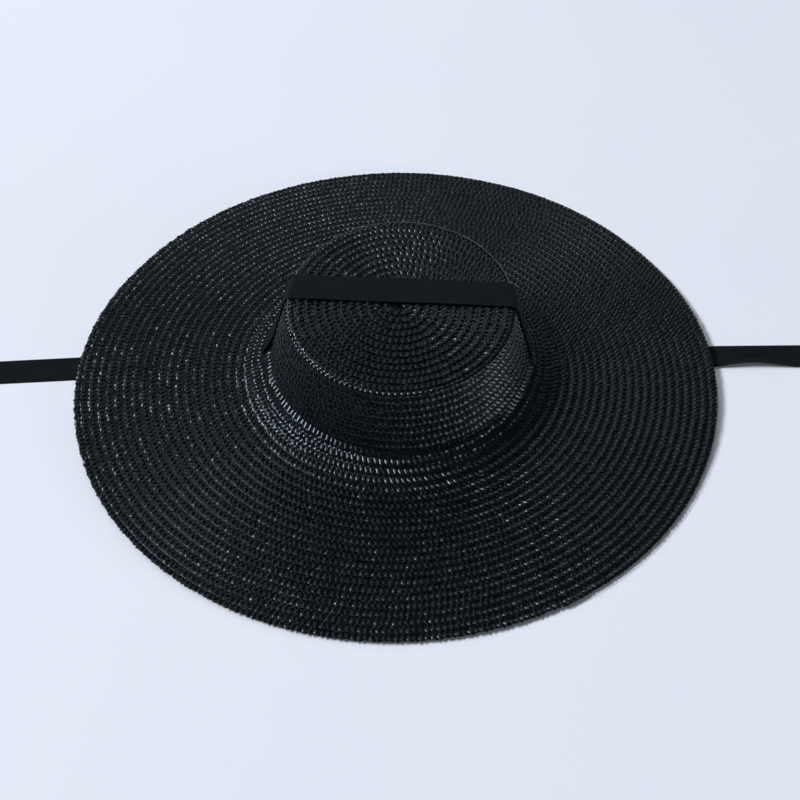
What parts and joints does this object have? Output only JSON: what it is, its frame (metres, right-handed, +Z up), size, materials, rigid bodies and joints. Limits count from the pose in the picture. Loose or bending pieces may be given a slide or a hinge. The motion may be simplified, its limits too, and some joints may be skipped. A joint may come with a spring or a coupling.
{
  "type": "flat-top wide-brim straw hat",
  "caption": "Black straw hat with a flat oval crown, a very wide gently sloping brim of sewn plait rows, and a flat ribbon over the crown, through side slits and out under the brim.",
  "frame": {"origin": "on the table, under the middle of the brim", "axes": "+Z up through the crown, +X along the ribbon to its right end, +Y away from the viewer"},
  "size_m": [0.576, 0.4472, 0.0759],
  "materials": {
    "straw": "black dyed straw plait, satin with small glints",
    "ribbon": "matt black woven ribbon with fine cross ribs"
  },
  "bodies": {
    "root": {"crown": "straw", "brim": "straw", "ribbon": "ribbon"}
  },
  "joints": []
}
